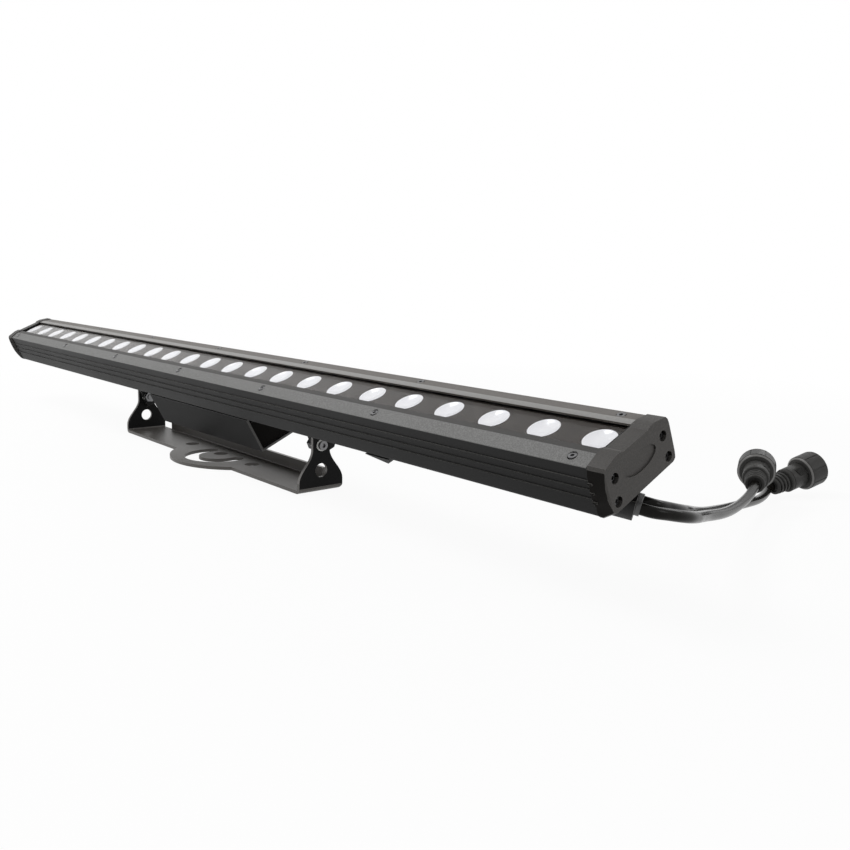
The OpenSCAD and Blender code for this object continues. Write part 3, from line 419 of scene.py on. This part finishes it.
def makeNut(name):
    s = nutSizes
    r = s["r"]
    profile = [
        (s["back"] + s["wall"], s["bore"]), (s["back"] + 0.3, s["bore"]), (s["back"], s["bore"] + 0.4),
        (s["back"], r - 2.6), (s["back"] + 0.25, r - 1.8), (s["back"] + 1.3, r - 0.45), (s["back"] + 2.0, r),
        (s["front"] - s["rim"], r), (s["front"] - s["rim"] + 0.25, r - 0.45), (s["front"] - 0.7, r - 0.5),
        (s["front"] - 0.1, r - 1.0), (s["front"], s["cavity"] + 0.5), (s["front"] - 0.5, s["cavity"]),
        (s["back"] + s["wall"], s["cavity"]), (s["back"] + s["wall"], s["bore"]),
    ]
    nut = turnedPiece(name, profile, sides=96, tube=True)
    grooves = []
    for k in range(s["grooves"]):
        groove = boxPiece(
            "groove", (r - s["grooveDeep"], -s["grooveHalf"], s["back"] + 2.6),
            (r + 1, s["grooveHalf"], s["front"] - s["rim"] - 0.3),
        )
        grooves.append(moveMesh(groove, Matrix.Rotation(2 * math.pi * (k + 0.5) / s["grooves"], 4, "Z")))
    cutAway(nut, joinPieces(grooves[0], grooves[1:]))
    step = s["front"] - s["rim"]
    # painted highlight: the back ring and the front step take the lighter edge finish
    tintFaces(
        nut,
        lambda c, n: c.z < s["back"] + 1.25 and math.hypot(n.x, n.y) > 0.3 and math.hypot(c.x, c.y) > 11,
    )
    tintFaces(nut, lambda c, n: step < c.z < step + 0.3 and math.hypot(c.x, c.y) > 14)
    smoothShade(nut, 25)
    return nut


connectorParts = {}
for key, connector in (("in", connectorIn), ("out", connectorOut)):
    place = connectorMatrix(connector)
    title = key.capitalize()
    relief = moveMesh(makeRelief("strainRelief" + title), place)
    shell = moveMesh(makeShell("connectorShell" + title), place)
    nut = moveMesh(makeNut("couplingNut" + title), place)
    standIn(relief, "head", "connector", "strain_relief_" + key)
    standIn(shell, "head", "connector", "connector_" + key)
    standIn(nut, "nut_" + key, "connector", "coupling_nut_" + key)
    connectorParts[key] = [relief, shell, nut]
print("connectors turned")


# Metal pieces: merged copies of their solids with bevelled edges, painted edge highlights and painted shade
def dress(node, body, slot, finish, edge, width, wanted=None, angle=32, shaded=None, shade="inside"):
    words = node.split("_")
    piece = cleanCopy(node, words[0] + "".join(word.capitalize() for word in words[1:]) + "Piece")
    for _ in (finish, edge, shade):
        piece.data.materials.append(None)
    back = headMatrix().inverted() if body == "head" else None
    # painted highlight on the wanted faces and the bevels, painted shade on the shaded faces
    if wanted:
        tintFaces(piece, wanted, back)
    if shaded:
        tintFaces(piece, shaded, back, 2)
    bevelEdges(piece, width, angle, material=1)
    smoothShade(piece, 32)
    settleNormals(piece)
    dressed.append((piece, finish, edge, shade))
    return standIn(piece, body, slot, node)


dressed = []  # piece, then its finish, its painted edge highlight and the painted shade of its shaded faces
# how far the marked faces reach: on the head from its middle, on the bracket from the floor
limits = {
    "ribOut": 28.65, "ribTop": -2, "channelEnd": 107, "earEdge": 171.5, "earEdgeLow": 4,
    "earFace": 170, "earFaceLow": 5, "flangeBack": 18, "flangeLow": 13, "flangeTop": 15,
}
# faces that take painted highlights: rib tops, the channel end, the bracket's cut edges and flange top, the
# back rail's crest; faces that take painted shade: the front rail's crest, the ear faces, the cap walls
edges = {
    "ribTop": lambda c, n: abs(c.y) > limits["ribOut"] and n.z > 0.8 and c.z < limits["ribTop"],
    "crest": lambda c, n: n.z > 0.99,
    "channelEnd": lambda c, n: n.x > 0.9 and c.x > limits["channelEnd"],
    "cutEdgePaintedHighlight": lambda c, n: (
        (abs(c.x) > limits["earEdge"] and abs(n.x) < 0.3 and n.y < -0.15 and c.z > limits["earEdgeLow"])
        or (c.y > limits["flangeBack"] and n.z > 0.9 and limits["flangeLow"] < c.z < limits["flangeTop"])
    ),
    "ears": lambda c, n: abs(n.x) > 0.9 and abs(c.x) > limits["earFace"] and c.z > limits["earFaceLow"],
    "wallsPaintedShade": lambda c, n: abs(n.y) > 0.9,
}
# painted shade: the front rail's crest and bevels take a darker copy of its coat
dress("rail_front", "head", "rail_grey", "rail", "railCrest", 0.2, edges["crest"])
# painted shade on the back rail's coat, painted highlight on its crest and bevels
dress("rail_back", "head", "rail_grey", "railBack", "railEdgePaintedHighlight", 0.2, edges["crest"])
for end in ("right", "left"):
    # painted shade on the cap's side walls, painted highlight on its bevels
    dress("end_cap_" + end, "head", "cap_black", "cap", "capEdgePaintedHighlight", 0.4, angle=24, shaded=edges["wallsPaintedShade"])
    dress("pivot_lug_" + end, "head", "housing_black", "body", "bodyEdgePaintedHighlight", 0.3)
    # painted shade: the recessed housing end takes the darker black
    dress("housing_end_" + end, "head", "housing_black", "inside", "bodyEdgePaintedHighlight", 0.2)
# painted highlight on the rib tops and bevels
dress("body_extrusion", "head", "body_black", "body", "bodyEdgePaintedHighlight", 0.16, edges["ribTop"])
# painted highlight on the channel's end faces and bevels
dress("driver_housing", "head", "housing_black", "housing", "bodyEdgePaintedHighlight", 0.3, edges["channelEnd"])
dress("cable_block", "head", "housing_black", "body", "capEdgePaintedHighlight", 0.45)
dress("block_flange", "head", "connector", "collar", "collar", 0.3)
dress("rest_foot", "head", "holder", "holder", "bodyEdgePaintedHighlight", 0.3)
# painted highlight on the cut edges, the flange top and the bevels; painted shade on the ear faces, which
# take the housing's black
dress(
    "bracket", "bracket", "bracket_steel", "bracket", "bracketEdgePaintedHighlight", 0.35, edges["cutEdgePaintedHighlight"],
    shaded=edges["ears"], shade="housing",
)
print("metal pieces dressed")


# Lenses: a stepped face round a shallow dish, over the same tapered body
lensSizes = {
    "count": 24, "pitch": 41.3, "top": -1.3, "r": 10.3, "rim": 2.6,
    "foot": -14.6, "footR": 4.6, "wellR": 3.9, "well": 3,
    "dish": [(0.6, 5.2), (0.95, 4.4), (1.0, 2.0)],
}


def makeLens(name):
    s = lensSizes
    top, r = s["top"], s["r"]
    profile = [
        (s["foot"] + s["well"], s["wellR"]), (s["foot"], s["wellR"]), (s["foot"], s["footR"]),
        (top - s["rim"], r - 1), (top - s["rim"], r), (top - 0.2, r), (top, r - 0.2), (top, r - 1.1),
        (top - 0.25, r - 1.4), *[(top - depth, dishR) for depth, dishR in s["dish"]],
    ]
    lens = turnedPiece(name, profile, sides=56)
    smoothShade(lens, 40)
    return lens


def makeLensRow():
    s = lensSizes
    first = makeLens("lensRow")
    twins = [
        copyOf(first, "lensTwin", Matrix.Translation((s["pitch"] * k * mm, 0, 0)))
        for k in range(1, s["count"])
    ]
    row = joinPieces(first, twins)
    moveMesh(row, headMatrix() @ Matrix.Translation((-s["pitch"] * (s["count"] - 1) / 2 * mm, 0, 0)))
    return standIn(row, "head", "lens", "lenses")


lensRow = makeLensRow()
print("lenses set")


# Shader node groups that several materials share
coat = {"grain": 1600, "cloud": 14, "cloudShare": 0.55, "spread": 0.08, "depth": 0.0003}


def newGroup(name, inputs, outputs):
    group = bpy.data.node_groups.new(name, "ShaderNodeTree")
    for title, kind, value in inputs:
        socket = group.interface.new_socket(name=title, in_out="INPUT", socket_type=kind)
        if value is not None:
            socket.default_value = value
    for title, kind in outputs:
        group.interface.new_socket(name=title, in_out="OUTPUT", socket_type=kind)
    entry = group.nodes.new("NodeGroupInput")
    leave = group.nodes.new("NodeGroupOutput")
    return group, entry, leave


def coatGroup():
    # powder coat: fine grain over slow clouds, from the point on the piece
    group, entry, leave = newGroup(
        "powderCoatGrain",
        [("Grain Size", "NodeSocketFloat", coat["grain"]), ("Cloud Size", "NodeSocketFloat", coat["cloud"])],
        [("Height", "NodeSocketFloat"), ("Fleck", "NodeSocketFloat"), ("Cloud", "NodeSocketFloat")],
    )
    place = group.nodes.new("ShaderNodeTexCoord")
    grain = group.nodes.new("ShaderNodeTexNoise")
    grain.inputs["Detail"].default_value = 3
    fleck = group.nodes.new("ShaderNodeTexVoronoi")
    cloud = group.nodes.new("ShaderNodeTexNoise")
    cloud.inputs["Detail"].default_value = 4
    link = group.links.new
    for node in (grain, fleck, cloud):
        link(place.outputs["Object"], node.inputs["Vector"])
    link(entry.outputs["Grain Size"], grain.inputs["Scale"])
    link(entry.outputs["Grain Size"], fleck.inputs["Scale"])
    link(entry.outputs["Cloud Size"], cloud.inputs["Scale"])
    link(grain.outputs["Fac"], leave.inputs["Height"])
    link(fleck.outputs["Distance"], leave.inputs["Fleck"])
    link(cloud.outputs["Fac"], leave.inputs["Cloud"])
    return group


coatGrain = coatGroup()


def newMaterial(name):
    material = bpy.data.materials.new(name)
    material.use_nodes = True
    return material, material.node_tree.nodes, material.node_tree.links.new


def coated(name, dark, light, rough, grain=coat["grain"], bump=0.12, metallic=0.0, gloss=0.5, ior=1.5):
    # a finish with two tones from the clouds and flecks, and a fine grain in its height
    material, tree, link = newMaterial(name)
    shader = tree["Principled BSDF"]
    shader.inputs["Metallic"].default_value = metallic
    shader.inputs["Specular IOR Level"].default_value = gloss
    shader.inputs["IOR"].default_value = ior
    group = tree.new("ShaderNodeGroup")
    group.node_tree = coatGrain
    group.inputs["Grain Size"].default_value = grain
    group.inputs["Cloud Size"].default_value = coat["cloud"]
    tone = tree.new("ShaderNodeMath")
    tone.operation = "MULTIPLY_ADD"
    tone.inputs[1].default_value = coat["cloudShare"]
    colour = tree.new("ShaderNodeMix")
    colour.data_type = "RGBA"
    colour.inputs["A"].default_value = (*dark, 1)
    colour.inputs["B"].default_value = (*light, 1)
    rub = tree.new("ShaderNodeMapRange")
    rub.inputs["To Min"].default_value = rough - coat["spread"]
    rub.inputs["To Max"].default_value = rough + coat["spread"]
    height = tree.new("ShaderNodeBump")
    height.inputs["Strength"].default_value = bump
    height.inputs["Distance"].default_value = coat["depth"]
    link(group.outputs["Cloud"], tone.inputs[0])
    link(group.outputs["Fleck"], tone.inputs[2])
    link(tone.outputs[0], colour.inputs["Factor"])
    link(colour.outputs["Result"], shader.inputs["Base Color"])
    link(group.outputs["Cloud"], rub.inputs["Value"])
    link(rub.outputs["Result"], shader.inputs["Roughness"])
    link(group.outputs["Height"], height.inputs["Height"])
    link(height.outputs["Normal"], shader.inputs["Normal"])
    return material


def glassFinish():
    material, tree, link = newMaterial("clearGlass")
    shader = tree["Principled BSDF"]
    shader.inputs["Transmission Weight"].default_value = 1
    shader.inputs["Roughness"].default_value = 0.01
    shader.inputs["IOR"].default_value = 1.15
    shader.inputs["Specular IOR Level"].default_value = 0.15
    clear = tree.new("ShaderNodeBsdfTransparent")
    path = tree.new("ShaderNodeLightPath")
    mix = tree.new("ShaderNodeMixShader")
    either = tree.new("ShaderNodeMath")
    either.operation = "MAXIMUM"
    link(path.outputs["Is Shadow Ray"], either.inputs[0])
    link(path.outputs["Is Diffuse Ray"], either.inputs[1])
    link(either.outputs[0], mix.inputs["Fac"])
    link(shader.outputs["BSDF"], mix.inputs[1])
    link(clear.outputs["BSDF"], mix.inputs[2])
    link(mix.outputs["Shader"], tree["Material Output"].inputs["Surface"])
    return material


def lensFinishWithPaintedGlow():
    material, tree, link = newMaterial("milkyLensPaintedGlow")
    shader = tree["Principled BSDF"]
    shader.inputs["Roughness"].default_value = 0.18
    shader.inputs["Coat Weight"].default_value = 0.4
    # painted glow: the lens emits its own colour, though it is no lamp
    shader.inputs["Emission Strength"].default_value = 0.33
    place = tree.new("ShaderNodeTexCoord")
    noise = tree.new("ShaderNodeTexNoise")
    noise.inputs["Scale"].default_value = 60
    ramp = tree.new("ShaderNodeValToRGB")
    ramp.color_ramp.elements[0].color = (0.86, 0.87, 0.93, 1)
    ramp.color_ramp.elements[1].color = (0.97, 0.97, 0.98, 1)
    link(place.outputs["Object"], noise.inputs["Vector"])
    link(noise.outputs["Fac"], ramp.inputs["Fac"])
    link(ramp.outputs["Color"], shader.inputs["Base Color"])
    link(ramp.outputs["Color"], shader.inputs["Emission Color"])
    return material


finishes = {
    "bracket": coated(
        "bracketCoat", (0.062, 0.057, 0.052), (0.10, 0.093, 0.086), 0.4, bump=0.12, gloss=0.45
    ),
    # painted highlight: a lighter copy of the bracket coat for its cut edges, flange top and bevels
    "bracketEdgePaintedHighlight": coated("bracketEdgePaintedHighlight", (0.13, 0.125, 0.12), (0.2, 0.19, 0.18), 0.35, bump=0.1),
    "body": coated(
        "bodyCoat", (0.009, 0.009, 0.009), (0.016, 0.016, 0.016), 0.45, bump=0.1, gloss=0.3, ior=1.25
    ),
    # painted highlight: a lighter copy of the black coat for bevels, rib tops and the channel end
    "bodyEdgePaintedHighlight": coated("bodyEdgePaintedHighlight", (0.06, 0.06, 0.058), (0.12, 0.117, 0.113), 0.35, bump=0.1, gloss=0.4),
    "housing": coated(
        "housingCoat", (0.009, 0.009, 0.009), (0.017, 0.017, 0.017), 0.5, bump=0.12, gloss=0.3, ior=1.15
    ),
    # painted shade: a darker, duller black for the recessed housing ends and the cap walls
    "inside": coated(
        "paintedShadeBlack", (0.006, 0.006, 0.006), (0.012, 0.011, 0.01), 0.6, bump=0.2, gloss=0.03
    ),
    "rail": coated(
        "railCoat", (0.085, 0.085, 0.083), (0.21, 0.21, 0.206), 0.5, grain=1100, bump=0.6, gloss=0.2
    ),
    # painted shade: a darker copy of the rail coat for the front rail's crest and bevels
    "railCrest": coated(
        "railCrest", (0.03, 0.029, 0.028), (0.058, 0.056, 0.054), 0.5, grain=1100, bump=0.4, gloss=0.2
    ),
    # painted shade: a darker, browner copy of the rail coat for the back rail
    "railBack": coated(
        "railBackPaintedShadeCoat", (0.05, 0.044, 0.038), (0.1, 0.09, 0.08), 0.5, grain=1100, bump=0.5, gloss=0.4
    ),
    # painted highlight: a lighter copy of the rail coat for the back rail's crest and bevels
    "railEdgePaintedHighlight": coated("railEdgePaintedHighlight", (0.16, 0.158, 0.15), (0.27, 0.265, 0.255), 0.4, grain=1100, bump=0.4),
    "cap": coated(
        "capCoat", (0.034, 0.032, 0.031), (0.07, 0.066, 0.062), 0.5, grain=1300, bump=0.4, gloss=0.2
    ),
    # painted highlight: a lighter copy of the cap coat for the bevels
    "capEdgePaintedHighlight": coated("capEdgePaintedHighlight", (0.09, 0.086, 0.082), (0.16, 0.155, 0.15), 0.4, grain=1300, bump=0.2),
    "collar": coated("collarMoulding", (0.05, 0.05, 0.05), (0.09, 0.09, 0.09), 0.4, bump=0.1),
    "seal": coated("sealRubber", (0.004, 0.004, 0.004), (0.008, 0.008, 0.008), 0.6, bump=0.05, gloss=0.2),
    "orange": coated("orangeSilicone", (0.5, 0.1, 0.02), (0.65, 0.16, 0.03), 0.5, bump=0.05),
    "plate": coated(
        "bronzePlate", (0.028, 0.022, 0.0185), (0.04, 0.032, 0.027), 0.5, bump=0.05, gloss=0.15
    ),
    "holder": coated("blackMoulding", (0.012, 0.012, 0.012), (0.02, 0.02, 0.02), 0.5, gloss=0.3),
    "board": coated("whiteBoard", (0.75, 0.76, 0.76), (0.85, 0.86, 0.86), 0.4, bump=0.03),
    "greenBoard": coated("greenBoard", (0.01, 0.12, 0.05), (0.02, 0.18, 0.08), 0.35, bump=0.03),
    "chip": coated("phosphor", (0.8, 0.6, 0.1), (0.9, 0.7, 0.15), 0.3, bump=0.03),
    "steel": coated("screwSteel", (0.09, 0.09, 0.092), (0.2, 0.2, 0.205), 0.28, metallic=1.0, bump=0.08),
    "driver": coated("driverCase", (0.45, 0.46, 0.47), (0.6, 0.61, 0.62), 0.35, metallic=1.0, bump=0.08),
    "red": coated("redLead", (0.4, 0.02, 0.02), (0.5, 0.03, 0.03), 0.4, bump=0.03),
    "nylon": coated("whiteNylon", (0.66, 0.66, 0.63), (0.78, 0.78, 0.75), 0.45, bump=0.05),
    "cable": coated(
        "cableSheath", (0.005, 0.0046, 0.0042), (0.01, 0.009, 0.008), 0.17, bump=0.03, grain=700, ior=1.17
    ),
    "connector": coated(
        "connectorMoulding", (0.022, 0.0215, 0.021), (0.05, 0.049, 0.047), 0.42, bump=0.2, gloss=0.15
    ),
    # painted highlight: a lighter copy of the moulding for the bright rims and ring edges
    "connectorEdgePaintedHighlight": coated("connectorEdgePaintedHighlight", (0.11, 0.108, 0.105), (0.18, 0.175, 0.17), 0.35, bump=0.1),
    "brass": coated("contactBrass", (0.7, 0.5, 0.2), (0.85, 0.65, 0.3), 0.25, metallic=1.0, bump=0.05),
    "glass": glassFinish(),
    "lens": lensFinishWithPaintedGlow(),
}
slotFinish = {
    "bracket_steel": "bracket", "body_black": "body", "rail_grey": "rail", "cap_black": "cap",
    "glass": "glass", "seal": "seal", "seal_orange": "orange", "plate_bronze": "plate", "lens": "lens",
    "holder": "holder", "board": "board", "green_board": "greenBoard", "chip": "chip", "steel": "steel",
    "housing_black": "body", "driver_case": "driver", "lead_red": "red", "nylon": "nylon",
    "cable": "cable", "connector": "connector", "brass": "brass",
}


def paint(piece, *names):
    while len(piece.data.materials) < len(names):
        piece.data.materials.append(None)
    for k, name in enumerate(names):
        piece.data.materials[k] = finishes[name]


for part in frame["record"]["subparts"]:
    nodes[part["node"]].data.materials.clear()
    paint(nodes[part["node"]], slotFinish[part["material_slot"]])
for piece, *coats in dressed:
    paint(piece, *coats)
paint(cableIn, "cable")
paint(cableOut, "cable")
paint(lensRow, "lens")
for parts in connectorParts.values():
    for piece in parts:
        paint(piece, "connector", "connectorEdgePaintedHighlight")
print("finishes mixed")


# Studio: a white floor and world, soft lamps
studio = {
    "floor": 12, "middle": (0.2, 0.2, -0.0002), "world": 0.42, "near": 0.45, "far": 1.1, "nearWhite": 0.93,
    "key": 8, "side": 2.5, "back": 3,
}


def seenRays(tree, link):
    # one for the rays that show the background: from the camera, in a reflection or through glass
    path = tree.new("ShaderNodeLightPath")
    first, second = tree.new("ShaderNodeMath"), tree.new("ShaderNodeMath")
    first.operation = second.operation = "MAXIMUM"
    link(path.outputs["Is Camera Ray"], first.inputs[0])
    link(path.outputs["Is Glossy Ray"], first.inputs[1])
    link(first.outputs[0], second.inputs[0])
    link(path.outputs["Is Transmission Ray"], second.inputs[1])
    return second.outputs[0]


def backdropMaterial():
    # white for the camera; near the light it also keeps some of its own shade and shadow
    material, tree, link = newMaterial("whiteFloor")
    shader = tree["Principled BSDF"]
    shader.inputs["Base Color"].default_value = (0.9, 0.9, 0.9, 1)
    shader.inputs["Roughness"].default_value = 0.9
    glow = tree.new("ShaderNodeEmission")
    glow.inputs["Strength"].default_value = 1.0
    place = tree.new("ShaderNodeTexCoord")
    reach = tree.new("ShaderNodeVectorMath")
    reach.operation = "LENGTH"
    fade = tree.new("ShaderNodeMapRange")
    fade.inputs["From Min"].default_value = studio["near"]
    fade.inputs["From Max"].default_value = studio["far"]
    fade.inputs["To Min"].default_value = studio["nearWhite"]
    keep = tree.new("ShaderNodeMath")
    keep.operation = "MULTIPLY"
    mix = tree.new("ShaderNodeMixShader")
    link(place.outputs["Object"], reach.inputs[0])
    link(reach.outputs["Value"], fade.inputs["Value"])
    link(seenRays(tree, link), keep.inputs[0])
    link(fade.outputs["Result"], keep.inputs[1])
    link(keep.outputs[0], mix.inputs["Fac"])
    link(shader.outputs["BSDF"], mix.inputs[1])
    link(glow.outputs["Emission"], mix.inputs[2])
    link(mix.outputs["Shader"], tree["Material Output"].inputs["Surface"])
    return material


def makeStudio():
    selectOnly()
    bpy.ops.mesh.primitive_plane_add(size=studio["floor"], location=studio["middle"])
    floor = bpy.context.object
    floor.name = "floor"
    floor.data.materials.append(backdropMaterial())
    world = bpy.data.worlds.new("studio")
    bpy.context.scene.world = world
    world.use_nodes = True
    tree, link = world.node_tree.nodes, world.node_tree.links.new
    back = tree["Background"]
    back.inputs["Color"].default_value = (1, 1, 1, 1)
    level = tree.new("ShaderNodeMapRange")
    level.inputs["To Min"].default_value = studio["world"]
    level.inputs["To Max"].default_value = 1
    link(seenRays(tree, link), level.inputs["Value"])
    link(level.outputs["Result"], back.inputs["Strength"])


def makeLamp(name, place, target, size, power):
    data = bpy.data.lights.new(name, "AREA")
    data.shape = "RECTANGLE"
    data.size, data.size_y = size
    data.energy = power
    lamp = bpy.data.objects.new(name, data)
    lamp.location = place
    lamp.rotation_euler = (Vector(target) - Vector(place)).to_track_quat("-Z", "Y").to_euler()
    bpy.context.scene.collection.objects.link(lamp)


makeStudio()
makeLamp("keyLamp", (-0.3, -0.45, 1.15), (0.2, 0, 0.05), (0.7, 0.45), studio["key"])
makeLamp("sideLamp", (1.6, 0.7, 0.8), (0.4, 0.1, 0.05), (0.5, 0.5), studio["side"])
makeLamp("backLamp", (0.3, 1.5, 0.9), (0.2, 0.1, 0.05), (0.8, 0.4), studio["back"])
print("studio lit")
